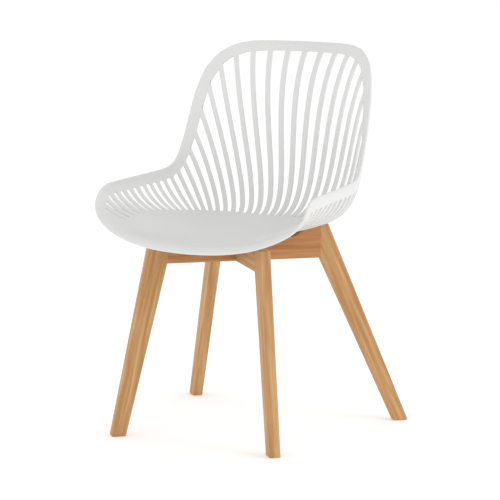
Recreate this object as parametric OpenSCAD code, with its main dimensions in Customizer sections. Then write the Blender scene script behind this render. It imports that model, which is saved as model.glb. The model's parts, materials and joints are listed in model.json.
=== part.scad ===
// Dining chair: a slatted plastic bucket seat on a crossed wooden base.
// The chair faces -Y, +X is on the right of a person who looks at its front, and Z = 0 is the floor.

/* [Cross rails] */
// Thickness of the rails and of the legs
board = 24; // [20:1:28]
// Height of the underside of the rails above the floor
rail_bottom = 375; // [350:5:380]
// Height of the flat middle stretch of the rails' upper edge
rail_top = 425; // [420:1:425]
// Clearance in the halved joint where the two rails cross
lap_gap = 0.2; // [0.1:0.1:0.5]

/* [Legs] */
// Distance of a front foot's outer corner from the crossing of the rails
front_reach = 288; // [270:2:300]
// Distance of a rear foot's outer corner from the crossing of the rails
rear_reach = 390; // [360:2:400]
// Distance of a front leg's inner face from the crossing, at the rails
front_knee = 163; // [155:1:170]
// Distance of a rear leg's inner face from the crossing, at the rails
rear_knee = 182; // [170:1:190]
// Width of a leg at the underside of the rails
knee_w = 49; // [44:1:54]
// Width of a foot on the floor
foot_w = 32; // [28:1:40]
// Chamfer round the underside of each foot
foot_chamfer = 2; // [1:0.5:3]

/* [Seat shell] */
// Height of the top of the back
back_h = 831; // [815:1:845]
// Reach of the top of the back behind the crossing
back_reach = 320; // [310:1:330]
// Height of the arms where they meet the back
arm_h = 553; // [545:1:560]
// Fall of the arms from the back to the front
arm_fall = 12; // [0:1:20]
// Half the width between the arms at the back
arm_back_w = 234; // [228:1:238]
// Half the width between the arms at the front
arm_front_w = 252; // [246:1:256]
// Height of the front lip
lip_h = 419; // [416:1:421]
// Reach of the front lip in front of the crossing
lip_reach = 235; // [230:1:240]
// Thickness of the seat pan
pan_t = 5; // [4:0.5:6]
// Depth of the slats
slat_t = 5.5; // [5:0.5:8]
// Width of the slat in the middle of the back
slat_w = 12.5; // [10:0.5:14]
// Width of the slats in the arms
arm_slat_w = 9; // [8:0.5:11]
// Width of the slats at the front of the arms
front_slat_w = 12; // [9:0.5:13]
// Width of the solid band between the slots and the edge of the shell
band_w = 25; // [22:1:30]

/* [Fasteners] */
// Distance of the shell screws from the crossing of the rails
screw_reach = 108; // [100:1:110]
// Radius of the screw shank
screw_r = 3; // [2.5:0.5:3]
// Thickness of the rubber spacers between the rails and the shell's bosses
spacer_t = 2.5; // [1.5:0.5:2.5]
// Radius of the dowels
dowel_r = 4; // [3:0.5:5]
// Length of the dowels
dowel_len = 40; // [30:2:40]

/* [Hidden] */

// The rails cross this far in front of the middle of the chair's box.
cross_y = -40.4;

// ---- Shell: four curves carry it, each a uniform cubic B-spline for the +X half, in millimetres from
// the floor point under the crossing. All start in the middle of the back, run round the arm and end in
// the middle of the front lip. Their control points follow from the sizes below.

// Elliptic arcs round the back: half width, depth, reach behind the crossing, degrees between points
top_arc = [244, 203, back_reach, 21];
pan_arc = [400, 500, back_reach - 150, 10];
low_arc = [235, 175, back_reach - 13, 27];
lumbar_arc = [217, 0, back_reach - 134, 34];
corner_drop = 52;
pan_back_h = 448;
pan_back_rise = 4;
low_h = 470;
lumbar_h = back_h - 128;
lumbar_drop = 24;
// The wing between the back's corner and the arm: how fast it widens, comes forward and drops
wing_widen = 0.5;
wing_forward = 0.8;
wing_fall = 2.2;
// Straight runs along the side, from the back to the front; points spread out a little on the way
arm_back = [arm_back_w, 94, arm_h];
arm_front = [arm_front_w, -163, arm_h - arm_fall];
pan_side_back = [175, 91, 459];
pan_side_front = [190, -94, 477];
spread = 0.1;
// The wall leaves the pan outwards and meets the arm from below, bulging past it
arm_out = 0.75;
arm_up = 0.22;
arm_bulge = 12;
arm_under = 0.2;
corner_setback = 25;
// Lip: reach and height in the middle, how much both grow to the corner, width per slat and its taper
rim_lip = [-lip_reach, lip_h, 48, 71, 45.5, 0.0357];
pan_lip = [36 - lip_reach, lip_h + 10, 39, 38, 49, 0.059];
lip_curve = 2.2;
lip_slats = 8;
lip_low = [0.4, 0.6, 0.6];
lip_high = [0.85, 0.96, 0.96];
lip_roll = [0, 6, 6];

function mix(a, b, t) = [for (i = [0 : 2]) a[i] * (1 - t[i]) + b[i] * t[i]];
function back_arc(arc, i, height) =
    let(turn = arc[3] * i)
    [arc[0] * sin(turn), arc[2] - arc[1] * (1 - cos(turn)), height];
function side_run(back, front, t) = mix(back, front, [t, t - spread * t * (1 - t), t]);
// Control point s slats away from the middle of the lip
function lip_point(lip, s) =
    let(share = pow(s / lip_slats, lip_curve))
    [lip[4] * s * (1 - lip[5] * s), lip[0] + lip[2] * share, lip[1] + lip[3] * share];
function wing_point(corner, t) =
    mix(corner, arm_back, [pow(t, wing_widen), pow(t, wing_forward), 1 - pow(1 - t, wing_fall)]);

// Outer edge of the shell, one point every two slats
back_corner = back_arc(top_arc, 3, back_h - corner_drop);
rim = concat(
    [for (i = [0 : 2]) back_arc(top_arc, i, back_h)],
    [back_corner],
    [for (t = [1 / 3, 2 / 3]) wing_point(back_corner, t)],
    [for (i = [0 : 5]) side_run(arm_back, arm_front, i / 5)],
    [for (s = [8 : -2 : 0]) lip_point(rim_lip, s)]
);
// Edge of the smooth seat pan, where the slots begin, one point every four slats
pan_edge = concat(
    [for (i = [0 : 2]) back_arc(pan_arc, i, pan_back_h + pan_back_rise * i)],
    [for (i = [0 : 2]) side_run(pan_side_back, pan_side_front, i / 2)],
    [for (s = [8 : -4 : 0]) lip_point(pan_lip, s)]
);
// Place on the lip's corner or middle, part of the way from the pan edge to the outer edge
function lip_handle(i, part) =
    mix(pan_edge[6 + i], rim[12 + 2 * i], [part, part, part]) + [0, 0, lip_roll[i]];
// Bezier handles of the wall above the pan edge
wall_low = concat(
    [for (i = [0 : 2]) back_arc(low_arc, i, low_h)],
    [
        for (i = [3 : 5])
            mix(pan_edge[i], rim[2 * i], [arm_out, arm_out, arm_up]) + [0, i == 3 ? corner_setback : 0, 0]
    ],
    [for (i = [0 : 2]) lip_handle(i, lip_low[i])]
);
// Bezier handles of the wall below the rim
wall_high = concat(
    [for (i = [0 : 2]) back_arc(lumbar_arc, i, lumbar_h - lumbar_drop * i * i)],
    [for (i = [3 : 5]) mix(rim[2 * i], pan_edge[i], [0, 0, arm_under]) + [arm_bulge, 0, 0]],
    [for (i = [0 : 2]) lip_handle(i, lip_high[i])]
);
// Lowest point of the seat pan
pan_middle = [0, -20, 433];
// How far in from its edge the pan already heads up the wall
pan_lead = 45;
// Outermost slat, and the middle of the front lip, counted in slats from the middle of the back
last_slat = 24;
lip_middle = 32;

function flip(p) = [-p[0], p[1], p[2]];
function knot(c, i) = let(n = len(c) - 1) i < 0 ? flip(c[-i]) : i > n ? flip(c[2 * n - i]) : c[i];
function weights(f) =
    [pow(1 - f, 3), 3 * pow(f, 3) - 6 * pow(f, 2) + 4, 3 * f * (1 + f - f * f) + 1, pow(f, 3)] / 6;
function spline(c, u) =
    let(i = min(floor(u), len(c) - 2), w = weights(u - i))
    w * [knot(c, i - 1), knot(c, i), knot(c, i + 1), knot(c, i + 2)];
// Point of a carrying curve at slat number k, negative on the -X side
function along(c, k) =
    let(p = spline(c, abs(k) * (len(c) - 1) / lip_middle))
    k < 0 ? flip(p) : p;
function bezier(a, b, c, d, t) =
    pow(1 - t, 3) * a + 3 * t * pow(1 - t, 2) * b + 3 * t * t * (1 - t) * c + pow(t, 3) * d;
function unit(v) = v / norm(v);

// Wall of the shell: v runs from 0 at the pan edge to 1 at the rim.
function wall(k, v) = bezier(along(pan_edge, k), along(wall_low, k), along(wall_high, k), along(rim, k), v);
// Seat pan: g runs from 0 in the middle to 1 at the pan edge, where the pan leaves into the wall.
function pan(k, g) =
    let(edge = along(pan_edge, k), run = edge - pan_middle, rise = unit(along(wall_low, k) - edge))
    bezier(pan_middle, pan_middle + 0.5 * [run[0], run[1], 0], edge - pan_lead * rise, edge, g);
// One coordinate over pan and wall: h runs from -1 in the middle of the pan, over 0, to 1 at the rim.
function skin(k, h) = h < 0 ? pan(k, 1 + h) : wall(k, h);

// Depth of the shell: pan_t in the seat pan and the lip, slat_t over the slats and the band above them
function depth(k, h) =
    pan_t + (slat_t - pan_t) * max(0, min(1, 4 * h)) * max(0, min(1, last_slat + 1 - abs(k)));
function normal(k, h) =
    let(e = 0.01, a = skin(k + 1, h) - skin(k - 1, h), b = skin(k, min(1, h + e)) - skin(k, max(-1, h - e)))
    unit(cross(a, b));

// Slats grow narrower from the back to the arm, and wider again at the arm's front.
slat_widths = [[0, slat_w], [12, arm_slat_w], [16, arm_slat_w], [20, front_slat_w]];
function slat_width(k) = lookup(abs(k), slat_widths);
// Share of the slat spacing that one slat fills, measured across the slat
function slat_share(j, v) =
    let(
        across = wall(j + 0.5, v) - wall(j - 0.5, v),
        up = unit(wall(j, min(1, v + 0.02)) - wall(j, max(0, v - 0.02)))
    )
    slat_width(j) / norm(cross(across, up));

// The outer edge as a line of short pieces, and how far a point near slat k lies from it
edge_steps = 4;
edge_line = [for (i = [-lip_middle * edge_steps : lip_middle * edge_steps]) along(rim, i / edge_steps)];
function from_piece(p, a, b) =
    let(t = max(0, min(1, (p - a) * (b - a) / ((b - a) * (b - a)))))
    norm(p - a - t * (b - a));
function from_edge(p, k) =
    let(i = round((k + lip_middle) * edge_steps), reach = 3 * edge_steps)
    min([for (n = [i - reach : i + reach - 1]) from_piece(p, edge_line[n], edge_line[n + 1])]);
// Where the slots end: band_w away from the outer edge
function slot_top(k) =
    let(steps = 36, lowest = 0.3)
    lookup(band_w, [
        for (i = [0 : steps])
            let(v = 1 - (1 - lowest) * i / steps)
            [from_edge(wall(k, v), k), v]
    ]);
// Side of a slat at its upper end, in slats from its middle
slot_side = 0.25;

// Rings of the shell's grid: [zone, place in the zone, how far the slots are open there]
pan_rings = [0.3, 0.6, 0.85];
slot_rings = [
    [0, 0.3], [0.03, 0.8], [0.1, 1], [0.2, 1], [0.32, 1], [0.44, 1], [0.56, 1], [0.68, 1],
    [0.8, 1], [0.9, 1], [0.98, 0.95], [1, 0.7]
];
// Columns of the grid: both edges of each slat, then the plain front lip
half_columns = concat(
    [[0, 1]],
    [for (j = [1 : last_slat]) for (side = [-1, 1]) [j, side]],
    [for (k = [last_slat + 1 : lip_middle]) [k, 0]]
);
n_half = len(half_columns);
n_columns = 2 * n_half - 1;
function column(c) = c < n_half ? half_columns[c] : half_columns[n_columns - 1 - c];
function column_side(c) = c < n_half ? 1 : -1;

function ring_points(c) =
    let(
        j = column(c)[0],
        side = column(c)[1],
        hand = column_side(c),
        top = slot_top(hand * min(j + side * slot_side, last_slat + slot_side)),
        places = concat(
            [for (g = pan_rings) [g - 1, 1]],
            [for (r = slot_rings) [r[0] * top, r[1]]],
            [[(1 + top) / 2, 0.7], [1, 0.7]]
        )
    )
    [
        for (place = places)
            let(
                full = side == 0 ? 0 : 0.5 * slat_share(j, max(0, place[0])),
                half = side == 0 ? 0 : 0.5 - (0.5 - full) * place[1],
                k = hand * (j + side * half),
                h = place[0]
            )
            [skin(k, h), normal(k, h) * depth(k, h) / 2]
    ];

module shell_skin() {
    grid = [for (c = [0 : n_columns - 1]) ring_points(c)];
    rings = len(grid[0]);
    first_slot_ring = len(pan_rings);
    last_slot_ring = first_slot_ring + len(slot_rings) - 1;
    up = [0, 0, pan_t / 2];
    points = concat(
        [pan_middle + up, pan_middle - up],
        [for (c = grid) for (q = c) each [q[0] + q[1], q[0] - q[1]]]
    );
    // A cell is a slot when it lies between two slats and inside the slot's rings.
    is_slot = [
        for (c = [0 : n_columns - 1])
            let(a = column(c), b = column((c + 1) % n_columns))
            c == n_columns - 1 ? false :
            a[1] != 0 && b[1] != 0 && a[0] != b[0]
    ];
    function at(c, r, face) = 2 + 2 * ((c % n_columns) * rings + r) + face;
    function open(c, r) = is_slot[(c + n_columns) % n_columns] && r >= first_slot_ring && r < last_slot_ring;
    function quad(a, b, c, d) = [[a, b, c], [a, c, d]];
    // Side of the shell's thickness along ring r, from column c + from to column c + to
    function edge_quad(c, r, from, to) =
        quad(at(c + from, r, 0), at(c + to, r, 0), at(c + to, r, 1), at(c + from, r, 1));
    faces = concat(
        [for (c = [0 : n_columns - 1]) [0, at(c, 0, 0), at(c + 1, 0, 0)]],
        [for (c = [0 : n_columns - 1]) [1, at(c + 1, 0, 1), at(c, 0, 1)]],
        [
            for (c = [0 : n_columns - 1]) for (r = [0 : rings - 2]) if (!open(c, r))
                each quad(at(c, r, 0), at(c, r + 1, 0), at(c + 1, r + 1, 0), at(c + 1, r, 0))
        ],
        [
            for (c = [0 : n_columns - 1]) for (r = [0 : rings - 2]) if (!open(c, r))
                each quad(at(c, r, 1), at(c + 1, r, 1), at(c + 1, r + 1, 1), at(c, r + 1, 1))
        ],
        [
            for (c = [0 : n_columns - 1])
                each edge_quad(c, rings - 1, 1, 0)
        ],
        [
            for (c = [0 : n_columns - 1]) for (r = [first_slot_ring : last_slot_ring - 1])
                if (open(c, r) && !open(c - 1, r))
                    each quad(at(c, r, 0), at(c, r + 1, 0), at(c, r + 1, 1), at(c, r, 1))
        ],
        [
            for (c = [0 : n_columns - 1]) for (r = [first_slot_ring : last_slot_ring - 1])
                if (open(c, r) && !open(c + 1, r))
                    each quad(at(c + 1, r, 0), at(c + 1, r, 1), at(c + 1, r + 1, 1), at(c + 1, r + 1, 0))
        ],
        [
            for (c = [0 : n_columns - 1]) if (is_slot[c])
                each edge_quad(c, first_slot_ring, 1, 0)
        ],
        [
            for (c = [0 : n_columns - 1]) if (is_slot[c])
                each edge_quad(c, last_slot_ring, 0, 1)
        ]
    );
    polyhedron(points = points, faces = faces, convexity = 12);
}

// ---- Fastening of the shell: screws come up through the rails into threaded inserts in the bosses.
boss_r = 9;
boss_bottom = rail_top + spacer_t;
// Mid-surface of the seat pan over the front and over the rear screws
front_boss_top = 436;
rear_boss_top = 442;
insert_r = 4.2;
insert_len = 6.8;
insert_fit = 0.05;
thread_fit = 0.05;
head_r = 5;
head_h = 6;
socket_r = 2.9;
socket_depth = 3;
washer_r = 6;
washer_t = 1.2;
// Pocket in the underside of a rail for the head and the washer
pocket_r = 6.6;
pocket_depth = 24;
bore_r = screw_r + 0.4;
round_fn = 48;
corners = [45, 135, 225, 315];

// Places its children at the crossing, turned so that +X leads to one corner of the chair.
module towards(corner) {
    translate([0, cross_y, 0]) rotate([0, 0, corner]) children();
}

module at_screws() {
    for (corner = corners) towards(corner) translate([screw_reach, 0, 0]) children();
}

module disc(r, bottom, top) {
    translate([0, 0, bottom]) cylinder(r = r, h = top - bottom, $fn = round_fn);
}

module ring(r, hole, bottom, top) {
    difference() {
        disc(r, bottom, top);
        disc(hole, bottom - 1, top + 1);
    }
}

module seat_shell() {
    color("whitesmoke") difference() {
        union() {
            translate([0, cross_y, 0]) shell_skin();
            for (corner = corners)
                towards(corner) translate([screw_reach, 0, 0])
                    disc(boss_r, boss_bottom, corner < 180 ? rear_boss_top : front_boss_top);
        }
        at_screws() disc(insert_r + insert_fit, boss_bottom - 1, boss_bottom + insert_len + 0.3);
    }
}

module shell_inserts() {
    color("goldenrod") at_screws()
        ring(insert_r, screw_r + thread_fit, boss_bottom, boss_bottom + insert_len);
}

module shell_spacers() {
    color("dimgray") at_screws() ring(boss_r, bore_r, rail_top, boss_bottom);
}

module shell_washers() {
    color("silver") at_screws()
        ring(washer_r, bore_r, rail_bottom + pocket_depth - washer_t, rail_bottom + pocket_depth);
}

module shell_screws() {
    seat = rail_bottom + pocket_depth - washer_t;
    color("silver") at_screws() difference() {
        union() {
            disc(head_r, seat - head_h, seat);
            disc(screw_r, seat - 1, boss_bottom + insert_len);
        }
        translate([0, 0, seat - head_h - 1]) cylinder(r = socket_r, h = socket_depth + 1, $fn = 6);
    }
}

// ---- Base: boards on edge along the two diagonals. s runs outwards from the crossing.

// The rear of the wood rises here, under the curve between the seat pan and the back.
rise_start = 122;
rise = 25;
rise_steps = 12;
lap_height = (rail_bottom + rail_top) / 2;
dowel_fit = 0.1;
dowel_spacing = 20;

function outer_slope(reach, knee) = (reach - knee - knee_w) / rail_bottom;
// Outer face of a leg at height z
function outer(reach, knee, z) = reach - z * outer_slope(reach, knee);
rear_end = outer(rear_reach, rear_knee, rail_top + rise);
front_end = outer(front_reach, front_knee, rail_top);
// Upper edge of the wood at s
function wood_top(s) =
    let(t = max(0, min(1, (s - rise_start) / (rear_end - rise_start))))
    rail_top + rise * (1 - pow(1 - t, 2));
function top_edge(from, to) =
    [for (i = [0 : rise_steps]) let(s = from + (to - from) * i / rise_steps) [s, wood_top(s)]];

// A board on edge, drawn as [s, z] points
module board_shape(shape) {
    rotate([90, 0, 0]) translate([0, 0, -board / 2]) linear_extrude(board) polygon(shape);
}

// Dowels or their holes, across the joint plane at s
module dowel_pair(s, r, len) {
    for (side = [-1, 1])
        translate([s - len / 2, 0, lap_height + side * dowel_spacing / 2])
            rotate([0, 90, 0]) cylinder(r = r, h = len, $fn = round_fn);
}

module rail() {
    hole = dowel_len + 1;
    difference() {
        board_shape(concat(
            [[-front_knee, rail_bottom], [rear_knee, rail_bottom]],
            [for (i = [rise_steps : -1 : 0]) top_edge(rise_start, rear_knee)[i]],
            [[-front_knee, rail_top]]
        ));
        for (s = [-screw_reach, screw_reach]) translate([s, 0, 0]) {
            disc(bore_r, rail_bottom - 1, rail_top + 1);
            disc(pocket_r, rail_bottom - 1, rail_bottom + pocket_depth);
        }
        dowel_pair(-front_knee, dowel_r + dowel_fit, hole);
        dowel_pair(rear_knee, dowel_r + dowel_fit, hole);
    }
}

// Half of the crossing taken away: the upper half for the lower rail, the lower half for the upper rail
module lap(bottom, top) {
    width = board + 2 * lap_gap;
    translate([-width / 2, -board, bottom]) cube([width, 2 * board, top - bottom]);
}

module rail_front_left_rear_right() {
    color("burlywood") towards(45) difference() {
        rail();
        lap(lap_height - lap_gap / 2, rail_top + 1);
    }
}

module rail_front_right_rear_left() {
    color("burlywood") towards(135) difference() {
        rail();
        lap(rail_bottom - 1, lap_height + lap_gap / 2);
    }
}

module leg(corner, reach, knee, top) {
    slope_in = (reach - foot_w - knee) / rail_bottom;
    slope_out = outer_slope(reach, knee);
    c = foot_chamfer;
    b = board / 2;
    color("tan") towards(corner) difference() {
        intersection() {
            board_shape(concat(
                [
                    [knee, rail_bottom], [reach - foot_w - c * slope_in, c], [reach - foot_w + c, 0],
                    [reach - c, 0], [reach - c * slope_out, c]
                ],
                [for (i = [len(top) - 1 : -1 : 0]) top[i]]
            ));
            translate([knee - 1, 0, 0]) rotate([90, 0, 90]) linear_extrude(reach)
                polygon([[-b + c, 0], [b - c, 0], [b, c], [b, 500], [-b, 500], [-b, c]]);
        }
        dowel_pair(knee, dowel_r + dowel_fit, dowel_len + 1);
    }
}

front_top = [[front_knee, rail_top], [front_end, rail_top]];
module leg_front_left() {
    leg(225, front_reach, front_knee, front_top);
}
module leg_front_right() {
    leg(315, front_reach, front_knee, front_top);
}
module leg_rear_left() {
    leg(135, rear_reach, rear_knee, top_edge(rear_knee, rear_end));
}
module leg_rear_right() {
    leg(45, rear_reach, rear_knee, top_edge(rear_knee, rear_end));
}

module leg_dowels() {
    color("peru") for (corner = corners)
        towards(corner) dowel_pair(corner < 180 ? rear_knee : front_knee, dowel_r, dowel_len);
}

seat_shell();
rail_front_left_rear_right();
rail_front_right_rear_left();
leg_front_left();
leg_front_right();
leg_rear_left();
leg_rear_right();
leg_dowels();
shell_inserts();
shell_spacers();
shell_washers();
shell_screws();
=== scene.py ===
"""Looks of the slatted dining chair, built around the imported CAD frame."""

import json
import math

import bmesh
import bpy
import numpy as np
from mathutils import Matrix, Vector

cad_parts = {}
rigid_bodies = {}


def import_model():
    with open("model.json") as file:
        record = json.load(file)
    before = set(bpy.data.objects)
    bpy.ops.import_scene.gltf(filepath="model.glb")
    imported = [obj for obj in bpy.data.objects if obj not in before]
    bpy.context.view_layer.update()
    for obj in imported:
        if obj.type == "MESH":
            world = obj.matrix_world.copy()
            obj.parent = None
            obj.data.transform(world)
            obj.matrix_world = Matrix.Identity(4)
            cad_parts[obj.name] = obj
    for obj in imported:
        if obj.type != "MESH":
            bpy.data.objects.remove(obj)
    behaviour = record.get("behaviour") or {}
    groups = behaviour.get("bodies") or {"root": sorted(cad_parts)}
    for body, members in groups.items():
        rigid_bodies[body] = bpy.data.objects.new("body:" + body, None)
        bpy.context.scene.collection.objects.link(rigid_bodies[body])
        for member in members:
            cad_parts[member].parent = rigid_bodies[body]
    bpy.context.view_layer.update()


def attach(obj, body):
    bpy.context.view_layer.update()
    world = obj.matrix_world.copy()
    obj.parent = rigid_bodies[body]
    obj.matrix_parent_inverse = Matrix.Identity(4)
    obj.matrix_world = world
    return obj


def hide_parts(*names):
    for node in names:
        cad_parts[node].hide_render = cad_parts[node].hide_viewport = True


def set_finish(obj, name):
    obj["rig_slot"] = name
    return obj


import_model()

# ---------------------------------------------------------------- design values, millimetres
# The chair faces -Y. Curves are given from the floor point under the crossing of the rails, which
# lies CROSS_Y away from the origin.
CROSS_Y = -40.4
BOARD = 24.0
RAIL_BOTTOM, RAIL_TOP = 375.0, 425.0
FRONT_REACH, REAR_REACH = 288.0, 390.0
FRONT_KNEE, REAR_KNEE = 163.0, 182.0
KNEE_W, FOOT_W = 49.0, 32.0
KNEE_LEDGE = 0.5  # the leg's underside starts level with the rail's for this far
RISE_START, RISE = 122.0, 25.0
LAP_GAP = 0.2
CUT_PAST = 5.0  # how far a cutter runs past the face that it opens
SCREW_REACH = 108.0
BORE_R, POCKET_R, POCKET_DEPTH = 3.4, 6.6, 24.0
BOSS_R, BOSS_BOTTOM = 9.0, 427.5
BOSS_TOPS = {"front": 436.0, "rear": 442.0}
INSERT_BORE_R, INSERT_BORE_TOP = 4.25, 434.6
DOWEL_R, DOWEL_LEN, DOWEL_HOLE_R, DOWEL_HOLE_LEN, DOWEL_SPACING = 4.0, 40.0, 4.1, 41.0, 20.0
SCREW_R, HEAD_R, HEAD_H, SOCKET_R, SOCKET_DEPTH, THREAD_PITCH = 3.0, 5.0, 6.0, 2.9, 3.0, 1.0
PLAIN_SHANK = 15.0  # length of the screw between its head and its thread
WASHER_R, WASHER_T, INSERT_R, INSERT_LEN, INSERT_GROOVES = 6.0, 1.2, 4.2, 6.8, 5
# Small edges of the turned pieces
TURN_STEPS, DOWEL_STEPS = 40, 32
BOSS_MOUTH, BOSS_CHAMFER = 0.5, 0.8
HEAD_ROUND, HEAD_ROUND_MID, HEAD_CHAMFER, SOCKET_PAST = 0.7, 0.2, 0.25, 2.0
THREAD_DEPTH, TIP_LEN, TIP_CHAMFER = 0.55, 0.9, 0.8
WASHER_BURR, WASHER_ROUND = 0.1, 0.3
SPACER_CHAMFER, SPACER_CHAMFER_LEN, SPACER_WAIST = 0.3, 0.4, 0.35
INSERT_FIT, INSERT_MOUTH, INSERT_MOUTH_LEN = 0.05, 0.4, 0.3
GROOVE_DEPTH, GROOVE_SLOPE, GROOVE_GAP = 0.3, 0.25, 0.05
DOWEL_CHAMFER, DOWEL_CHAMFER_LEN = 0.9, 1.2
DOWEL_GROOVE, GROOVE_FLOOR, GROOVE_MOUTH = 0.35, 1.0, 1.4  # depth, half the floor, half the mouth

CORNERS = {"rear_right": 45, "rear_left": 135, "front_left": 225, "front_right": 315}
SQUARE = ((-1, -1), (1, -1), (1, 1), (-1, 1))

# ---- Shell: four curves carry it, each a uniform cubic B-spline from the middle of the back, round
# the arm, to the middle of the front lip. Their control points follow from these sizes.
# Elliptic arcs round the back: half width, depth, reach behind the crossing, degrees between points.
TOP_ARC = (244, 203, 320, 21)
PAN_ARC = (400, 500, 170, 10)
LOW_ARC = (235, 175, 307, 27)
LUMBAR_ARC = (217, 0, 186, 34)
BACK_H, CORNER_DROP = 831, 52
PAN_BACK_H, PAN_BACK_RISE = 448, 4
LOW_H, LUMBAR_H, LUMBAR_DROP = 470, 703, 24
# The wing between the back's corner and the arm: how fast it widens, comes forward and drops.
WING_WIDEN, WING_FORWARD, WING_FALL = 0.5, 0.8, 2.2
# Straight runs along the side, from the back to the front; points spread out a little on the way.
ARM_BACK, ARM_FRONT = (234, 94, 553), (252, -163, 541)
PAN_SIDE_BACK, PAN_SIDE_FRONT = (175, 91, 459), (190, -94, 477)
SPREAD = 0.1
# The wall leaves the pan outwards and meets the arm from below, bulging past it.
ARM_OUT, ARM_UP, ARM_BULGE, ARM_UNDER = 0.75, 0.22, 12, 0.2
CORNER_SETBACK = 25
# Lip: reach and height in the middle, how much both grow to the corner, width per slat and its taper.
RIM_LIP = (-235, 419, 48, 71, 45.5, 0.0357)
PAN_LIP = (-199, 429, 39, 38, 49, 0.059)
LIP_CURVE = 2.2
LIP_SLATS = 8
LIP_LOW, LIP_HIGH, LIP_ROLL = (0.4, 0.6, 0.6), (0.85, 0.96, 0.96), (0, 6, 6)
# The seat pan falls to its middle and meets its edge in line with the wall over PAN_LEAD.
PAN_MIDDLE = np.array([0.0, -20.0, 433.0])
PAN_LEAD = 45.0
LAST_SLAT = 24
LOOP = 64  # the whole rim, counted in slats
SLAT_W, ARM_SLAT_W, FRONT_SLAT_W, SLAT_T, PAN_T, BAND_W = 12.5, 9.0, 12.0, 5.5, 5.0, 25.0
ARM_SLATS, FRONT_SLAT = (12, 16), 20  # counted from the middle of the back
SLAT_ROUND, RIM_ROUND, BOARD_ROUND, FOOT_ROUND = 1.5, 2.6, 2.6, 3.0


# ---------------------------------------------------------------- shell curves
def mix(a, b, t):
    return np.asarray(a, float) * (1 - np.asarray(t)) + np.asarray(b, float) * np.asarray(t)


def back_arc(arc, i, height):
    width, deep, reach, step = arc
    a = math.radians(step * i)
    return np.array([width * math.sin(a), reach - deep * (1 - math.cos(a)), height])


def side_run(back, front, t):
    return mix(back, front, (t, t - SPREAD * t * (1 - t), t))


def lip_point(lip, s):
    """Control point s slats away from the middle of the lip."""
    reach, height, forward, rise, pitch, taper = lip
    share = (s / LIP_SLATS) ** LIP_CURVE
    return np.array([pitch * s * (1 - taper * s), reach + forward * share, height + rise * share])


def wing_point(corner, t):
    return mix(corner, ARM_BACK, (t**WING_WIDEN, t**WING_FORWARD, 1 - (1 - t) ** WING_FALL))


def rim_points():
    corner = back_arc(TOP_ARC, 3, BACK_H - CORNER_DROP)
    return [
        *(back_arc(TOP_ARC, i, BACK_H) for i in range(3)),
        corner,
        *(wing_point(corner, t) for t in (1 / 3, 2 / 3)),
        *(side_run(ARM_BACK, ARM_FRONT, i / 5) for i in range(6)),
        *(lip_point(RIM_LIP, s) for s in (8, 6, 4, 2, 0)),
    ]


def pan_edge_points():
    return [
        *(back_arc(PAN_ARC, i, PAN_BACK_H + PAN_BACK_RISE * i) for i in range(3)),
        *(side_run(PAN_SIDE_BACK, PAN_SIDE_FRONT, i / 2) for i in range(3)),
        *(lip_point(PAN_LIP, s) for s in (8, 4, 0)),
    ]


RIM, PAN_EDGE = rim_points(), pan_edge_points()


def wall_low_points():
    back = [back_arc(LOW_ARC, i, LOW_H) for i in range(3)]
    arm = [mix(PAN_EDGE[i], RIM[2 * i], (ARM_OUT, ARM_OUT, ARM_UP)) for i in (3, 4, 5)]
    arm[0] = arm[0] + [0, CORNER_SETBACK, 0]
    lip = [mix(PAN_EDGE[6 + i], RIM[12 + 2 * i], LIP_LOW[i]) + [0, 0, LIP_ROLL[i]] for i in range(3)]
    return back + arm + lip


def wall_high_points():
    back = [back_arc(LUMBAR_ARC, i, LUMBAR_H - LUMBAR_DROP * i * i) for i in range(3)]
    arm = [mix(RIM[2 * i], PAN_EDGE[i], (0, 0, ARM_UNDER)) + [ARM_BULGE, 0, 0] for i in (3, 4, 5)]
    lip = [mix(PAN_EDGE[6 + i], RIM[12 + 2 * i], LIP_HIGH[i]) + [0, 0, LIP_ROLL[i]] for i in range(3)]
    return back + arm + lip


WALL_LOW, WALL_HIGH = wall_low_points(), wall_high_points()


# ---------------------------------------------------------------- shell surface
def closed(half):
    """The whole loop of control points from its +X half."""
    half = np.array(half, float)
    return np.vstack([half, (half[1:-1] * [-1, 1, 1])[::-1]])


rim_loop, pan_loop, low_loop, high_loop = (closed(c) for c in (RIM, PAN_EDGE, WALL_LOW, WALL_HIGH))


def along(loop, k):
    """Point of a control loop's uniform cubic B-spline at slat number k."""
    u = np.asarray(k, float) * len(loop) / LOOP
    i = np.floor(u).astype(int)
    f = (u - i)[..., None]
    w = [(1 - f) ** 3, 3 * f**3 - 6 * f**2 + 4, 3 * f * (1 + f - f * f) + 1, f**3]
    return sum(w[n] * loop[(i + n - 1) % len(loop)] for n in range(4)) / 6


def bezier(a, b, c, d, t):
    t = np.asarray(t, float)[..., None]
    return (1 - t) ** 3 * a + 3 * t * (1 - t) ** 2 * b + 3 * t * t * (1 - t) * c + t**3 * d


def unit(v):
    return v / np.linalg.norm(v, axis=-1, keepdims=True)


def wall(k, v):
    return bezier(along(pan_loop, k), along(low_loop, k), along(high_loop, k), along(rim_loop, k), v)


def pan(k, g):
    edge = along(pan_loop, k)
    run = (edge - PAN_MIDDLE) * [1, 1, 0]
    rise = unit(along(low_loop, k) - edge)
    return bezier(PAN_MIDDLE, PAN_MIDDLE + 0.5 * run, edge - PAN_LEAD * rise, edge, g)


def skin(k, h):
    """h runs from -1 in the middle of the pan over 0 at the pan's edge to 1 at the rim."""
    h = np.asarray(h, float)
    return np.where((h < 0)[..., None], pan(k, np.clip(1 + h, 0, 1)), wall(k, np.clip(h, 0, 1)))


def normals(k, h, e=0.004):
    a = skin(k + 0.3, h) - skin(k - 0.3, h)
    b = skin(k, np.minimum(1, h + e)) - skin(k, np.maximum(-1, h - e))
    return unit(np.cross(a, b))


def around_from_back(k):
    """Distance of slat number k from the middle of the back, counted either way round."""
    return np.abs((np.asarray(k) + LOOP / 2) % LOOP - LOOP / 2)


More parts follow.
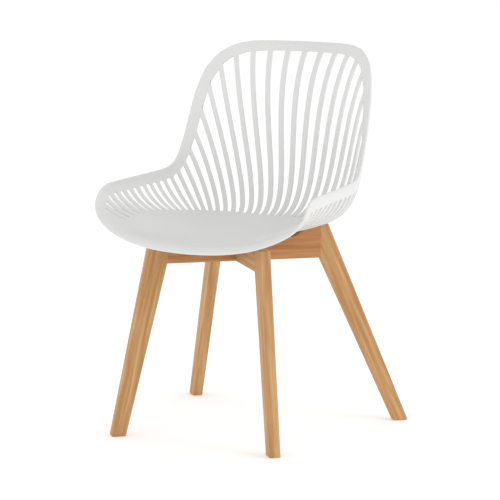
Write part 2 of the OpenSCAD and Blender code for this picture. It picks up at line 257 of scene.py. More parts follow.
def depth(k, h):
    slatted = np.clip(4 * h, 0, 1) * np.clip(LAST_SLAT + 1 - around_from_back(k), 0, 1)
    return PAN_T + (SLAT_T - PAN_T) * slatted


def slat_width(k):
    widths = (SLAT_W, ARM_SLAT_W, ARM_SLAT_W, FRONT_SLAT_W)
    return np.interp(around_from_back(k), (0, *ARM_SLATS, FRONT_SLAT), widths)


def half_slat(j, v):
    """Half of a slat's width as a share of the slat spacing."""
    across = wall(j + 0.5, v) - wall(j - 0.5, v)
    up = unit(wall(j, np.minimum(1, v + 0.02)) - wall(j, np.maximum(0, v - 0.02)))
    spacing = np.linalg.norm(np.cross(across, up), axis=-1)
    return (slat_width(j) / 2) / spacing, spacing


# ---------------------------------------------------------------- shell grid
FOOT_ROWS, TOP_ROWS, MID_ROWS, BAND_ROWS = 4, 4, 46, 5
SLAT_COLUMNS = (-1.0, -0.45, 0.45, 1.0)
LIP_COLUMNS = 44
SLOT_SIDE = 0.25  # a slot's ends are measured this far from the slat's middle, in slats
# Rounding of a slot's two ends: shares of its half opening, and a limit in millimetres at the top.
FOOT_RADIUS, TOP_RADIUS, MAX_TOP_RADIUS = 0.85, 0.6, 4.5
LOWEST_TOP = 0.25  # no slot ends below this share of the wall's height
WIDEST_HALF = 0.485  # half a slat takes at most this share of the slat spacing
PAN_RINGS = 30


def rim_distance(points, k):
    """Shortest distance of wall points near slat number k from the edge of the shell."""
    line = along(rim_loop, k + np.linspace(-4, 4, 161))
    a, step = line[:-1], np.diff(line, axis=0)
    t = np.clip(((points[:, None] - a) * step).sum(2) / (step**2).sum(1), 0, 1)
    return np.linalg.norm(points[:, None] - a - t[..., None] * step, axis=2).min(1)


def wall_rows(k):
    """Places v of the rows along line k of the wall, and how far the slot has closed in at each."""
    fine = np.linspace(0, 1, 241)
    line = wall(np.full_like(fine, float(k)), fine)
    run = np.concatenate([[0], np.cumsum(np.linalg.norm(np.diff(line, axis=0), axis=1))])
    near_rim = np.flatnonzero(rim_distance(line, k) > BAND_W - SLAT_ROUND)[-1]
    top = max(run[near_rim], LOWEST_TOP * run[-1])
    _, spacing = half_slat(k, np.interp([0.0, top], run, fine))
    gap = (spacing - slat_width(k)) / 2 + SLAT_ROUND
    foot_r, top_r = FOOT_RADIUS * gap[0], min(TOP_RADIUS * gap[1], MAX_TOP_RADIUS)
    ends = np.array([0, 0.1, 0.4, 1.0])
    d = np.concatenate([
        ends * foot_r,
        np.linspace(foot_r, top - top_r, MID_ROWS + 2)[1:-1],
        top - top_r * ends[::-1],
        np.linspace(top, run[-1] - RIM_ROUND, BAND_ROWS + 1)[1:],
    ])
    inset = np.zeros_like(d)  # millimetres taken off the half opening
    near = np.clip(1 - d / foot_r, 0, 1)
    inset = np.maximum(inset, foot_r * (1 - np.sqrt(1 - near**2)))
    near = np.clip(1 - (top - d) / top_r, 0, 1)
    inset = np.maximum(inset, top_r * (1 - np.sqrt(1 - near**2)))
    return np.interp(d, run, fine), inset


def shell_columns():
    """k and h of every wall point, as arrays [column, row]."""
    ks, hs = [], []

    def slat(j, share):
        v, inset = wall_rows(j + share * SLOT_SIDE)
        half, spacing = half_slat(np.full_like(v, float(j)), v)
        edge = np.minimum(half - (SLAT_ROUND - inset) / spacing, WIDEST_HALF)
        return j + share * edge, v

    for j in range(LAST_SLAT + 1):
        for share in SLAT_COLUMNS:
            k, v = slat(j, share)
            ks.append(k)
            hs.append(v)
    first, v = ks[-1], hs[-1]
    for n in range(1, LIP_COLUMNS + 1):
        f = n / (LIP_COLUMNS + 1)
        ks.append(first + (LOOP - 2 * first) * f)
        hs.append(v)
    for j in range(-LAST_SLAT, 0):
        for share in SLAT_COLUMNS:
            k, v = slat(j, share)
            ks.append(LOOP + k)
            hs.append(v)
    return np.array(ks), np.array(hs)


def fillet(points, out, up, thick, radius, steps=3):
    """Points of a rounded edge over each boundary point, from the upper face down to the lower one."""
    turns = np.radians(np.linspace(0, 90, steps + 1)[1:])
    radius, half = radius[:, None], thick[:, None] / 2
    top = [points + out * radius * np.sin(a) + up * (half - radius * (1 - np.cos(a))) for a in turns]
    low = [points + out * radius * np.sin(a) - up * (half - radius * (1 - np.cos(a))) for a in turns]
    return top + low[::-1]


def around(a, b):
    """Corners of the grid cell that starts at a, b."""
    return (a, b), (a + 1, b), (a + 1, b + 1), (a, b + 1)


def build_shell():
    ks, hs = shell_columns()
    columns, rows = ks.shape
    points, faces = [], []

    def add(block):
        start = sum(len(p) for p in points)
        points.append(np.asarray(block).reshape(-1, 3))
        return start

    def layers(k, h):
        mid, n, t = skin(k, h), normals(k, h), depth(k, h)
        return mid, n, t, mid + n * t[..., None] / 2, mid - n * t[..., None] / 2

    mid, n, t, top, low = layers(ks, hs)
    at = [add(top), add(low)]

    def wall_id(c, r, face):
        return at[face] + (c % columns) * rows + r

    # Seat pan: a square grid whose rings are drawn in towards the middle of the pan.
    rim_k = np.append(ks[:, 0], ks[0, 0] + LOOP)
    pan_k, pan_g = [], []
    for m in range(1, PAN_RINGS):
        c = np.arange(8 * m) * PAN_RINGS / m
        pan_k.append(np.interp(c, np.arange(columns + 1), rim_k))
        pan_g.append(np.full(8 * m, m / PAN_RINGS - 1.0))
    _, _, _, pan_top, pan_low = layers(np.concatenate(pan_k), np.concatenate(pan_g))
    rise = np.array([0, 0, PAN_T / 2])
    pan_at = [add(np.vstack([PAN_MIDDLE + rise, pan_top])), add(np.vstack([PAN_MIDDLE - rise, pan_low]))]

    def pan_id(a, b, face):
        m = max(abs(a), abs(b))
        if m == 0:
            return pan_at[face]
        if b == m and a >= 0:
            i = a
        elif a == m:
            i = 2 * m - b
        elif b == -m:
            i = 4 * m - a
        elif a == -m:
            i = 6 * m + b
        else:
            i = 8 * m + a
        i %= 8 * m
        if m == PAN_RINGS:
            return wall_id(i, 0, face)
        return pan_at[face] + 1 + 4 * m * (m - 1) + i

    for face in (0, 1):
        for a in range(-PAN_RINGS, PAN_RINGS):
            for b in range(-PAN_RINGS, PAN_RINGS):
                cell = [pan_id(i, j, face) for i, j in around(a, b)]
                faces.append(cell if face == 0 else cell[::-1])

    # Wall: a cell between two slats is left out up to the slot's upper end.
    slots = [4 * j + 3 for j in range(LAST_SLAT)]
    slots += [4 * (LAST_SLAT + 1) + LIP_COLUMNS + 4 * j + 3 for j in range(LAST_SLAT)]
    slot_set, slot_end = set(slots), FOOT_ROWS + MID_ROWS + TOP_ROWS - 1
    for c in range(columns):
        for r in range(rows - 1):
            if c in slot_set and r < slot_end:
                continue
            for face in (0, 1):
                cell = [wall_id(i, j, face) for i, j in around(c, r)]
                faces.append(cell if face == 0 else cell[::-1])

    def strip(loop, out, radius, outward):
        """Rounded edge along a closed loop of (column, row) pairs."""
        cs, rs = np.array([p[0] % columns for p in loop]), np.array([p[1] for p in loop])
        rings = fillet(mid[cs, rs], out, n[cs, rs], t[cs, rs], radius)
        ids = [[wall_id(c, r, 0) for c, r in loop]]
        for ring in rings:
            start = add(ring)
            ids.append([start + i for i in range(len(loop))])
        ids.append([wall_id(c, r, 1) for c, r in loop])
        for q in range(len(ids) - 1):
            for i in range(len(loop)):
                e = (i + 1) % len(loop)
                cell = [ids[q + 1][i], ids[q + 1][e], ids[q][e], ids[q][i]]
                faces.append(cell[::-1] if outward else cell)

    def tangents(p):
        return unit(np.roll(p, -1, axis=0) - np.roll(p, 1, axis=0))

    for c in slots:
        loop = [(c, r) for r in range(slot_end + 1)] + [(c + 1, r) for r in range(slot_end, -1, -1)]
        cs, rs = np.array([p[0] % columns for p in loop]), np.array([p[1] for p in loop])
        inward = unit(np.cross(tangents(mid[cs, rs]), n[cs, rs]))
        _, spacing = half_slat(ks[cs, rs], hs[cs, rs])
        open_half = np.maximum((spacing - slat_width(ks[cs, rs])) / 2, 0) + SLAT_ROUND
        strip(loop, inward, np.minimum(SLAT_ROUND, 0.8 * open_half), False)
    loop = [(c, rows - 1) for c in range(columns)]
    cs = np.arange(columns)
    edge = mid[cs, rows - 1]
    outward = unit(np.cross(n[cs, rows - 1], tangents(edge)))
    strip(loop, outward, np.minimum(RIM_ROUND, t[cs, rows - 1] / 2 - 0.1), True)
    return np.vstack(points), faces


def to_metres(points):
    return (np.asarray(points) + [0, CROSS_Y, 0]) / 1000


def mesh_object(name, points, faces):
    mesh = bpy.data.meshes.new(name)
    mesh.from_pydata([tuple(p) for p in to_metres(points)], [], faces)
    mesh.validate()
    mesh.update()
    obj = bpy.data.objects.new(name, mesh)
    bpy.context.scene.collection.objects.link(obj)
    mesh.polygons.foreach_set("use_smooth", [True] * len(mesh.polygons))
    return obj


# ---------------------------------------------------------------- boards
def outer_slope(reach, knee):
    return (reach - knee - KNEE_W) / RAIL_BOTTOM


REAR_END = REAR_REACH - (RAIL_TOP + RISE) * outer_slope(REAR_REACH, REAR_KNEE)
FRONT_END = FRONT_REACH - RAIL_TOP * outer_slope(FRONT_REACH, FRONT_KNEE)


def wood_top(s):
    t = min(1, max(0, (s - RISE_START) / (REAR_END - RISE_START)))
    return RAIL_TOP + RISE * (1 - (1 - t) ** 2)


def top_edge(a, b, steps=16):
    return [(a + (b - a) * i / steps, wood_top(a + (b - a) * i / steps)) for i in range(steps + 1)]


def corner_arc(a, b, c, radius, steps=4):
    """Arc that rounds corner b between a and c."""
    a, b, c = (np.array(p, float) for p in (a, b, c))
    u, w = unit(a - b), unit(c - b)
    half = math.acos(float(np.clip(u @ w, -1, 1))) / 2
    reach = radius / math.tan(half)
    start, end = b + u * reach, b + w * reach
    centre = b + unit(u + w) * radius / math.sin(half)
    chord = [start + (end - start) * i / steps for i in range(steps + 1)]
    return [tuple(centre + unit(p - centre) * radius) for p in chord]


def board(runs, edge=BOARD_ROUND, steps=4):
    """A board on edge, as points (s, w, z) and faces. Open runs of (s, z) points, anticlockwise, draw
    its rounded sides; from the end of one run to the start of the next it is cut off square."""
    half = BOARD / 2
    outline, inset = [], []
    for run in runs:
        p = np.array(run, float)
        d = unit(np.diff(p, axis=0))
        side = np.stack([-d[:, 1], d[:, 0]], axis=1)
        for i in range(len(p)):
            if 0 < i < len(p) - 1:
                m = (side[i - 1] + side[i]) / (1 + side[i - 1] @ side[i])
            else:
                m = np.array([0, 1 / side[0 if i == 0 else -1][1]])
            outline.append(p[i])
            inset.append(m)
    outline, inset = np.array(outline), np.array(inset)
    rings = []
    for a in np.radians(np.linspace(0, 90, steps + 1)):
        rings.append((-half + edge * (1 - math.cos(a)), outline + inset * edge * (1 - math.sin(a))))
    rings += [(-w, ring) for w, ring in rings[::-1]]
    count = len(outline)
    points = [(p[0], w, p[1]) for w, ring in rings for p in ring]
    faces = [list(range(count)), list(range(len(points) - count, len(points)))[::-1]]
    for q in range(len(rings) - 1):
        for i in range(count):
            e = (i + 1) % count
            faces.append([q * count + e, q * count + i, (q + 1) * count + i, (q + 1) * count + e])
    return points, faces


def towards(points, corner):
    """Turns (s, w, z) points so that s leads from the crossing to a corner of the chair."""
    a = math.radians(corner)
    p = np.asarray(points, float)
    x = p[:, 0] * math.cos(a) - p[:, 1] * math.sin(a)
    y = p[:, 0] * math.sin(a) + p[:, 1] * math.cos(a)
    return np.stack([x, y, p[:, 2]], axis=1)


def turned(profile, centre, axis="z", segments=TURN_STEPS):
    """Closed solid turned from (r, height) points that start and end on the axis, or form a ring."""
    ring_shaped = profile[0][0] > 0
    points, faces = [], []
    for r, h in profile:
        for i in range(segments):
            a = 2 * math.pi * i / segments
            u, w = r * math.cos(a), r * math.sin(a)
            q = (u, w, h) if axis == "z" else (h, u, w)
            points.append(np.array(centre, float) + q)
    count = len(profile)
    last = count if ring_shaped else count - 1
    for q in range(last):
        n = (q + 1) % count
        for i in range(segments):
            e = (i + 1) % segments
            faces.append([q * segments + i, q * segments + e, n * segments + e, n * segments + i])
    return points, faces


def prism(ring, low, high):
    """Points and faces of a straight solid over an anticlockwise ring of (x, y) points."""
    n = len(ring)
    points = [(x, y, z) for z in (low, high) for x, y in ring]
    sides = [[i, (i + 1) % n, n + (i + 1) % n, n + i] for i in range(n)]
    return points, [list(range(n))[::-1], list(range(n, 2 * n))] + sides


def merged(parts):
    points, faces = [], []
    for p, f in parts:
        faces += [[i + len(points) for i in face] for face in f]
        points += [tuple(q) for q in p]
    return points, faces


BOARD_ANGLE, TURNED_ANGLE = 40, 35  # degrees; edges sharper than this are shaded as edges


def tidy_mesh(obj, angle=BOARD_ANGLE):
    """Welds doubled points, drops empty faces, turns the normals outwards and shades by angle."""
    bm = bmesh.new()
    bm.from_mesh(obj.data)
    bmesh.ops.remove_doubles(bm, verts=bm.verts, dist=2e-6)
    bmesh.ops.dissolve_degenerate(bm, dist=1e-6, edges=bm.edges)
    bmesh.ops.recalc_face_normals(bm, faces=bm.faces)
    bm.to_mesh(obj.data)
    bm.free()
    obj.data.polygons.foreach_set("use_smooth", [True] * len(obj.data.polygons))
    obj.data.set_sharp_from_angle(angle=math.radians(angle))
    obj.data.update()
    return obj


def cut(obj, cutter):
    """Takes the cutter's solids out of obj."""
    tidy_mesh(cutter)
    modifier = obj.modifiers.new("cut", "BOOLEAN")
    modifier.operation, modifier.solver, modifier.object = "DIFFERENCE", "EXACT", cutter
    bpy.context.view_layer.update()
    graph = bpy.context.evaluated_depsgraph_get()
    result = bpy.data.meshes.new_from_object(obj.evaluated_get(graph))
    obj.modifiers.clear()
    obj.data = result
    bpy.data.objects.remove(cutter)
    return tidy_mesh(obj)


def dowel_holes(s):
    reach = DOWEL_HOLE_LEN / 2
    mid = (RAIL_BOTTOM + RAIL_TOP) / 2
    shape = [(0, -reach), (DOWEL_HOLE_R, -reach), (DOWEL_HOLE_R, reach), (0, reach)]
    return [turned(shape, (s, 0, mid + d * DOWEL_SPACING / 2), "s") for d in (-1, 1)]


def build_leg(name, corner, reach, knee, top):
    slope_out = outer_slope(reach, knee)
    heel, toe = (reach - FOOT_W, 0), (reach, 0)
    knee_corner = (knee + KNEE_LEDGE, RAIL_BOTTOM)
    outer_top = (reach - slope_out * top[-1][1], top[-1][1])
    run = [(knee, RAIL_BOTTOM), knee_corner]
    run += corner_arc(knee_corner, heel, toe, FOOT_ROUND)
    run += corner_arc(heel, toe, outer_top, FOOT_ROUND)
    run += corner_arc(toe, outer_top, top[-2], BOARD_ROUND + 0.4)
    run += top[-2::-1]
    points, faces = board([run])
    leg = mesh_object(name, towards(points, corner), faces)
    points, faces = merged(dowel_holes(knee))
    return cut(leg, mesh_object("holes", towards(points, corner), faces))


def build_rail(name, corner, upper):
    bottom = [(-FRONT_KNEE, RAIL_BOTTOM), (REAR_KNEE, RAIL_BOTTOM)]
    top = top_edge(RISE_START, REAR_KNEE)[::-1] + [(-FRONT_KNEE, RAIL_TOP)]
    points, faces = board([bottom, top])
    rail = mesh_object(name, towards(points, corner), faces)
    pocket = RAIL_BOTTOM + POCKET_DEPTH
    below, above = RAIL_BOTTOM - CUT_PAST, RAIL_TOP + CUT_PAST
    hole = [
        (0, below), (POCKET_R, below), (POCKET_R, pocket), (BORE_R, pocket), (BORE_R, above), (0, above),
    ]
    cutters = [turned(hole, (s, 0, 0)) for s in (-SCREW_REACH, SCREW_REACH)]
    cutters += dowel_holes(-FRONT_KNEE) + dowel_holes(REAR_KNEE)
    mid = (RAIL_BOTTOM + RAIL_TOP) / 2
    low, high = (below, mid + LAP_GAP / 2) if upper else (mid - LAP_GAP / 2, above)
    x, y = BOARD / 2 + LAP_GAP, BOARD
    cutters.append(prism([(a * x, b * y) for a, b in SQUARE], low, high))
    points, faces = merged(cutters)
    return cut(rail, mesh_object("cuts", towards(points, corner), faces))


# ---------------------------------------------------------------- pieces
def place(obj, slot, *nodes):
    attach(obj, "root")
    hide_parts(*nodes)
    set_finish(obj, slot)
    return obj


def turned_set(name, profile, spots):
    points, faces = merged([turned(profile, spot) for spot in spots])
    return tidy_mesh(mesh_object(name, points, faces), TURNED_ANGLE)


def at_corners(s):
    return [towards([(s, 0, 0)], corner)[0] for corner in CORNERS.values()]


points, faces = build_shell()
shell = mesh_object("seat_shell_moulded", points, faces)
place(shell, "shell_plastic", "seat_shell")

boss_parts = []
for side, height in BOSS_TOPS.items():
    profile = [
        (0, INSERT_BORE_TOP), (INSERT_BORE_R, INSERT_BORE_TOP), (INSERT_BORE_R, BOSS_BOTTOM + BOSS_MOUTH),
        (INSERT_BORE_R + BOSS_MOUTH, BOSS_BOTTOM), (BOSS_R - BOSS_CHAMFER, BOSS_BOTTOM),
        (BOSS_R, BOSS_BOTTOM + BOSS_CHAMFER), (BOSS_R, height), (0, height),
    ]
    for corner, angle in CORNERS.items():
        if corner.startswith(side):
            boss_parts.append(turned(profile, towards([(SCREW_REACH, 0, 0)], angle)[0]))
points, faces = merged(boss_parts)
bosses = tidy_mesh(mesh_object("seat_bosses", points, faces), TURNED_ANGLE)
place(bosses, "shell_plastic", "seat_shell")

flat_top = [(FRONT_KNEE, RAIL_TOP), (FRONT_END, RAIL_TOP)]
rear_top = top_edge(REAR_KNEE, REAR_END, 6)
boards = []
for corner, angle in CORNERS.items():
    node = "leg_" + corner
    if corner.startswith("front"):
        reach, knee, top = FRONT_REACH, FRONT_KNEE, flat_top
    else:
        reach, knee, top = REAR_REACH, REAR_KNEE, rear_top
    leg = build_leg(node + "_board", angle, reach, knee, top)
    boards.append((place(leg, "beech", node), angle, knee, reach))
for corners, angle, upper in (("front_left_rear_right", 45, False), ("front_right_rear_left", 135, True)):
    node = "rail_" + corners
    rail = build_rail(node + "_board", angle, upper)
    boards.append((place(rail, "beech", node), angle, None, None))

screw_seat = RAIL_BOTTOM + POCKET_DEPTH - WASHER_T
insert_top = BOSS_BOTTOM + INSERT_LEN
spots = at_corners(SCREW_REACH)

head_low = screw_seat - HEAD_H
screw = [
    (0, head_low), (HEAD_R - HEAD_ROUND, head_low), (HEAD_R - HEAD_ROUND_MID, head_low + HEAD_ROUND_MID),
    (HEAD_R, head_low + HEAD_ROUND), (HEAD_R, screw_seat - HEAD_CHAMFER),
    (HEAD_R - HEAD_CHAMFER, screw_seat), (SCREW_R, screw_seat),
]
for n in range(int((insert_top - screw_seat - PLAIN_SHANK - THREAD_PITCH) / THREAD_PITCH)):
    z = screw_seat + PLAIN_SHANK + n * THREAD_PITCH
    screw += [(SCREW_R, z), (SCREW_R - THREAD_DEPTH, z + THREAD_PITCH / 2)]
screw += [(SCREW_R, insert_top - TIP_LEN), (SCREW_R - TIP_CHAMFER, insert_top), (0, insert_top)]
screws = turned_set("shell_screws_socket_head", screw, spots)
sockets = []
for spot, angle in zip(spots, CORNERS.values()):
    a = [math.radians(angle + 60 * i) for i in range(6)]
    ring = [(spot[0] + SOCKET_R * math.cos(q), spot[1] + SOCKET_R * math.sin(q)) for q in a]
    sockets.append(prism(ring, head_low - SOCKET_PAST, head_low + SOCKET_DEPTH))
cut(screws, mesh_object("sockets", *merged(sockets)))
place(screws, "screw_steel", "shell_screws")

w0, w1 = screw_seat, screw_seat + WASHER_T
washer = [
    (BORE_R, w0 + WASHER_BURR), (BORE_R + WASHER_BURR, w0),
    (WASHER_R - WASHER_ROUND, w0), (WASHER_R, w0 + WASHER_ROUND),
    (WASHER_R, w1 - WASHER_BURR), (WASHER_R - WASHER_BURR, w1), (BORE_R, w1),
]
place(turned_set("shell_washers_pressed", washer, spots), "screw_steel", "shell_washers")

waist = (RAIL_TOP + BOSS_BOTTOM) / 2
spacer = [
    (BORE_R, RAIL_TOP), (BOSS_R - SPACER_CHAMFER, RAIL_TOP), (BOSS_R, RAIL_TOP + SPACER_CHAMFER_LEN),
    (BOSS_R - SPACER_WAIST, waist), (BOSS_R, BOSS_BOTTOM - SPACER_CHAMFER_LEN),
    (BOSS_R - SPACER_CHAMFER, BOSS_BOTTOM), (BORE_R, BOSS_BOTTOM),
]
place(turned_set("shell_spacers_rubber", spacer, spots), "spacer_rubber", "shell_spacers")

inner, low_r = SCREW_R + INSERT_FIT, INSERT_R - GROOVE_DEPTH
insert = [(inner, BOSS_BOTTOM + INSERT_MOUTH_LEN), (SCREW_R + INSERT_MOUTH, BOSS_BOTTOM)]
groove = INSERT_LEN / INSERT_GROOVES
for n in range(INSERT_GROOVES):
    z = BOSS_BOTTOM + n * groove
    insert += [(low_r, z), (INSERT_R, z + GROOVE_SLOPE)]
    insert += [(INSERT_R, z + groove - (GROOVE_SLOPE + GROOVE_GAP)), (low_r, z + groove - GROOVE_GAP)]
insert += [(low_r, insert_top), (inner, insert_top)]
place(turned_set("shell_inserts_grooved", insert, spots), "insert_brass", "shell_inserts")

dowel_parts = []
reach, mid = DOWEL_LEN / 2, (RAIL_BOTTOM + RAIL_TOP) / 2
dowel = [
    (0, -reach), (DOWEL_R - DOWEL_CHAMFER, -reach), (DOWEL_R, -reach + DOWEL_CHAMFER_LEN),
    (DOWEL_R, -GROOVE_MOUTH), (DOWEL_R - DOWEL_GROOVE, -GROOVE_FLOOR),
]
dowel += [(r, -h) for r, h in dowel[::-1]]  # the other half mirrors it
for corner, angle in CORNERS.items():
    knee = FRONT_KNEE if corner.startswith("front") else REAR_KNEE
    for d in (-1, 1):
        p, f = turned(dowel, (knee, 0, mid + d * DOWEL_SPACING / 2), "s", DOWEL_STEPS)
        dowel_parts.append((towards(p, angle), f))
dowels = tidy_mesh(mesh_object("leg_dowels_chamfered", *merged(dowel_parts)), TURNED_ANGLE)
place(dowels, "dowel_wood", "leg_dowels")


# ---------------------------------------------------------------- grain directions
RAIL_PAINTED_SHADE, LEG_PAINTED_SHADE = {45: 0.8, 135: 0.0}, 0.0  # painted shade: one rail is darkened and warmed to stand in for the shade it lies in under the seat
GRAIN_STEP = np.array([0.37, 0.53, 0.29])  # metres in the wood from one board's place to the next's


def lay_grain(obj, corner, start, end, shift, painted_shade_depth):
    """Stores for every point its place along, across and through the grain in metres, and how deep the
    painted shade is.
    """
    co = np.zeros(len(obj.data.vertices) * 3)
    obj.data.vertices.foreach_get("co", co)
    local = towards(co.reshape(-1, 3) * 1000 - [0, CROSS_Y, 0], -corner)
    start, end = np.array(start, float), np.array(end, float)
    u = unit(end - start)
    flat = local[:, [0, 2]] - start
    grain = np.stack([flat @ u, flat @ np.array([-u[1], u[0]]), local[:, 1]], axis=1) / 1000 + shift
    layer = obj.data.attributes.new("grain", "FLOAT_VECTOR", "POINT")
    layer.data.foreach_set("vector", grain.astype(np.float32).ravel())
    # the tone attribute holds the depth of painted shade on this board
    tone = obj.data.attributes.new("tone", "FLOAT", "POINT")
    tone.data.foreach_set("value", np.full(len(obj.data.vertices), painted_shade_depth, np.float32))


for n, (obj, corner, knee, reach) in enumerate(boards):
    shift = GRAIN_STEP * (n + 1)
    if knee is None:
        lay_grain(obj, corner, (0, RAIL_BOTTOM), (100, RAIL_BOTTOM), shift, RAIL_PAINTED_SHADE[corner])
    else:
        lay_grain(obj, corner, (knee + KNEE_W / 2, RAIL_BOTTOM), (reach - FOOT_W / 2, 0), shift, LEG_PAINTED_SHADE)
lay_grain(dowels, 45, (0, 0), (0, 100), np.zeros(3), LEG_PAINTED_SHADE)


# ---------------------------------------------------------------- materials
class Nodes:
    """Small helper to build a node tree around one Principled shader."""

    def __init__(self, name):
        self.material = bpy.data.materials.new(name)
        self.material.use_nodes = True
        self.tree = self.material.node_tree
        self.shader = self.tree.nodes["Principled BSDF"]

    def add(self, kind, inputs=(), **settings):
        node = self.tree.nodes.new(kind)
        for key, value in settings.items():
            setattr(node, key, value)
        for key, value in dict(inputs).items():
            if isinstance(value, bpy.types.NodeSocket):
                self.tree.links.new(value, node.inputs[key])
            else:
                node.inputs[key].default_value = value
        return node

    def stretched(self, vector, scale):
        return self.add("ShaderNodeVectorMath", {0: vector, 1: scale}, operation="MULTIPLY").outputs[0]

    def noise(self, vector, scale, detail=2.0, roughness=0.5):
        inputs = {"Vector": vector, "Scale": scale, "Detail": detail, "Roughness": roughness}
        return self.add("ShaderNodeTexNoise", inputs).outputs["Fac"]

    def ramp(self, value, low, high, to_low=0.0, to_high=1.0):
        inputs = {"Value": value, "From Min": low, "From Max": high, "To Min": to_low, "To Max": to_high}
        return self.add("ShaderNodeMapRange", inputs).outputs["Result"]

    def mix(self, factor, a, b, blend="MIX"):
        node = self.add("ShaderNodeMix", data_type="RGBA", blend_type=blend)
        for key, value in ((0, factor), (6, a), (7, b)):
            if isinstance(value, bpy.types.NodeSocket):
                self.tree.links.new(value, node.inputs[key])
            else:
                node.inputs[key].default_value = value
        return node.outputs[2]

    def bump(self, height, strength, distance):
        node = self.add("ShaderNodeBump", {"Height": height, "Strength": strength, "Distance": distance})
        self.link(node.outputs["Normal"], "Normal")

    def link(self, output, name):
        self.tree.links.new(output, self.shader.inputs[name])

    def set(self, **values):
        for key, value in values.items():
            self.shader.inputs[key.replace("_", " ")].default_value = value


def grey(v):
    return (v, v, v, 1)


def plastic():
    m = Nodes("white_moulded_plastic")
    place_in = m.add("ShaderNodeTexCoord").outputs["Object"]
    tone = m.noise(place_in, 9.0, 2.0)
    m.link(m.mix(tone, (0.695, 0.695, 0.688, 1), (0.72, 0.72, 0.714, 1)), "Base Color")
    texture = m.noise(place_in, 2600.0, 2.0)
    m.link(m.ramp(m.noise(place_in, 40.0, 3.0), 0.3, 0.7, 0.40, 0.48), "Roughness")
    m.bump(texture, 0.12, 0.0003)
    m.set(IOR=1.5)
    return m.material


def beech(name, light, dark, fleck):
    m = Nodes(name)
    grain = m.add("ShaderNodeAttribute", attribute_name="grain").outputs["Vector"]
    bend = m.noise(m.stretched(grain, (5.0, 14.0, 14.0)), 1.0, 2.0)
    wave = m.add("ShaderNodeCombineXYZ", {"Y": m.ramp(bend, 0.0, 1.0, -0.006, 0.006)}).outputs[0]
    bent = m.add("ShaderNodeVectorMath", {0: grain, 1: wave}, operation="ADD").outputs[0]
    broad = m.ramp(m.noise(m.stretched(bent, (5.0, 120.0, 90.0)), 1.0, 3.0), 0.36, 0.64)
    rings = m.ramp(m.noise(m.stretched(bent, (9.0, 420.0, 300.0)), 1.0, 4.0, 0.6), 0.35, 0.7)
    dashes = m.ramp(m.noise(m.stretched(bent, (330.0, 2600.0, 2600.0)), 1.0, 2.0), 0.60, 0.72)
    colour = m.mix(broad, light, dark)
    shade = m.mix(m.ramp(rings, 0.0, 1.0, 0.0, 0.55), colour, dark)
    colour = m.mix(m.ramp(dashes, 0.0, 1.0, 0.0, 0.55), shade, fleck)
    tone = m.add("ShaderNodeAttribute", attribute_name="tone").outputs["Fac"]
    # painted shade: the tone attribute multiplies the wood colour by a darker, warmer tint on a board
    # that stands in shade
    m.link(m.mix(tone, colour, PAINTED_SHADE_TINT, "MULTIPLY"), "Base Color")
    m.link(m.ramp(rings, 0.0, 1.0, 0.48, 0.6), "Roughness")
    m.bump(m.add("ShaderNodeMath", {0: rings, 1: dashes}, operation="SUBTRACT").outputs[0], 0.25, 0.0002)
    m.set(IOR=1.5, Specular_IOR_Level=0.25)
    return m.material


def metal(name, colour, low, high, stretch):
    m = Nodes(name)
    place_in = m.add("ShaderNodeTexCoord").outputs["Object"]
    lines = m.noise(m.stretched(place_in, stretch), 1.0, 3.0)
    m.link(m.mix(lines, tuple(0.86 * c for c in colour) + (1,), colour + (1,)), "Base Color")
    m.link(m.ramp(lines, 0.3, 0.7, low, high), "Roughness")
    m.bump(lines, 0.1, 0.0001)
    m.set(Metallic=1.0)
    return m.material


def rubber():
    m = Nodes("black_rubber")
    place_in = m.add("ShaderNodeTexCoord").outputs["Object"]
    grains = m.noise(place_in, 1800.0, 3.0)
    m.link(m.mix(grains, (0.02, 0.02, 0.02, 1), (0.045, 0.045, 0.045, 1)), "Base Color")
    m.link(m.ramp(grains, 0.3, 0.7, 0.65, 0.85), "Roughness")
    m.bump(grains, 0.3, 0.0002)
    return m.material


LIGHT_BEECH, DARK_BEECH, FLECK = (0.63, 0.38, 0.18, 1), (0.43, 0.22, 0.08, 1), (0.22, 0.095, 0.03, 1)
# painted shade: the darker, warmer tint laid on a board to stand in for the shade it lies in
PAINTED_SHADE_TINT = (0.86, 0.66, 0.58, 1)
beech_material = beech("lacquered_beech", LIGHT_BEECH, DARK_BEECH, FLECK)
materials = {
    "shell_plastic": plastic(),
    "beech": beech_material,
    "dowel_wood": beech("plain_beech", (0.6, 0.4, 0.22, 1), (0.52, 0.33, 0.17, 1), (0.35, 0.2, 0.09, 1)),
    "insert_brass": metal("turned_brass", (0.80, 0.58, 0.28), 0.25, 0.4, (300.0, 300.0, 2500.0)),
    "spacer_rubber": rubber(),
    "screw_steel": metal("zinc_plated_steel", (0.62, 0.63, 0.66), 0.28, 0.45, (900.0, 900.0, 900.0)),
}
for obj in bpy.context.scene.objects:
    if "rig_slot" in obj:
        obj.data.materials.clear()
        obj.data.materials.append(materials[obj["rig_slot"]])


# ---------------------------------------------------------------- floor, light and camera, in metres
FLOOR_REACH, FLOOR_GLOW = 60.0, 0.17


def stage_floor():
    mesh = bpy.data.meshes.new("floor")
    corners = [(a * FLOOR_REACH, b * FLOOR_REACH, 0) for a, b in SQUARE]
    mesh.from_pydata(corners, [], [(0, 1, 2, 3)])
    floor = bpy.data.objects.new("floor", mesh)
    bpy.context.scene.collection.objects.link(floor)
    m = Nodes("pale_floor")
    place_in = m.add("ShaderNodeTexCoord").outputs["Object"]
    m.link(m.mix(m.noise(place_in, 3.0, 3.0), grey(0.96), grey(0.98)), "Base Color")
    m.set(Roughness=0.9, Emission_Color=grey(1.0), Emission_Strength=FLOOR_GLOW)
    mesh.materials.append(m.material)


def direction(azimuth, elevation):
    """Unit vector from the chair; azimuth 0 is straight in front of it and 90 on its +X side."""
    a, e = math.radians(azimuth), math.radians(elevation)
    return Vector((math.sin(a) * math.cos(e), -math.cos(a) * math.cos(e), math.sin(e)))


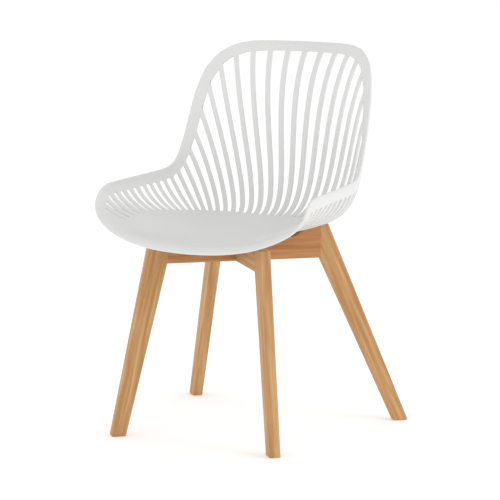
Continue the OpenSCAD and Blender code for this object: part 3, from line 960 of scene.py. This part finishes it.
def area_light(name, azimuth, elevation, distance, size, power, target):
    data = bpy.data.lights.new(name, "AREA")
    data.shape, data.size, data.energy = "SQUARE", size, power
    light = bpy.data.objects.new(name, data)
    bpy.context.scene.collection.objects.link(light)
    back = direction(azimuth, elevation)
    light.location = target + back * distance
    light.rotation_euler = back.to_track_quat("Z", "Y").to_euler()


def sky(horizon, zenith):
    world = bpy.data.worlds.new("studio")
    bpy.context.scene.world = world
    world.use_nodes = True
    tree = world.node_tree
    background = tree.nodes["Background"]
    coords = tree.nodes.new("ShaderNodeTexCoord")
    split = tree.nodes.new("ShaderNodeSeparateXYZ")
    height = tree.nodes.new("ShaderNodeMapRange")
    height.inputs["From Min"].default_value, height.inputs["From Max"].default_value = 0.0, 0.9
    height.inputs["To Min"].default_value, height.inputs["To Max"].default_value = horizon, zenith
    tree.links.new(coords.outputs["Generated"], split.inputs[0])
    tree.links.new(split.outputs["Z"], height.inputs["Value"])
    tree.links.new(height.outputs["Result"], background.inputs["Strength"])
    background.inputs["Color"].default_value = (1.0, 1.0, 1.0, 1)


def camera():
    azimuth, elevation, roll = 29.2, 8.8, math.radians(0.27)
    distance, aside, height = 5.443, 0.0234, 0.3972
    back = direction(azimuth, elevation)
    right = Vector((math.cos(math.radians(azimuth)), math.sin(math.radians(azimuth)), 0))
    up = back.cross(right)
    target = right * aside + Vector((0, CROSS_Y / 1000, height))
    right, up = right * math.cos(roll) + up * math.sin(roll), up * math.cos(roll) - right * math.sin(roll)
    data = bpy.data.cameras.new("camera")
    data.sensor_width, data.lens = 36.0, 180.3
    data.clip_end = 200.0
    obj = bpy.data.objects.new("camera", data)
    bpy.context.scene.collection.objects.link(obj)
    pose = Matrix((right, up, back)).transposed().to_4x4()
    pose.translation = target + back * distance
    obj.matrix_world = pose
    bpy.context.scene.camera = obj
    return target


stage_floor()
target = camera()
sky(horizon=1.05, zenith=0.82)
area_light("key", 95, 18, distance=3.0, size=2.0, power=17.0, target=target)
area_light("fill", -28, 6, distance=3.0, size=2.0, power=10.0, target=target)
bpy.context.scene.view_settings.view_transform = "Standard"
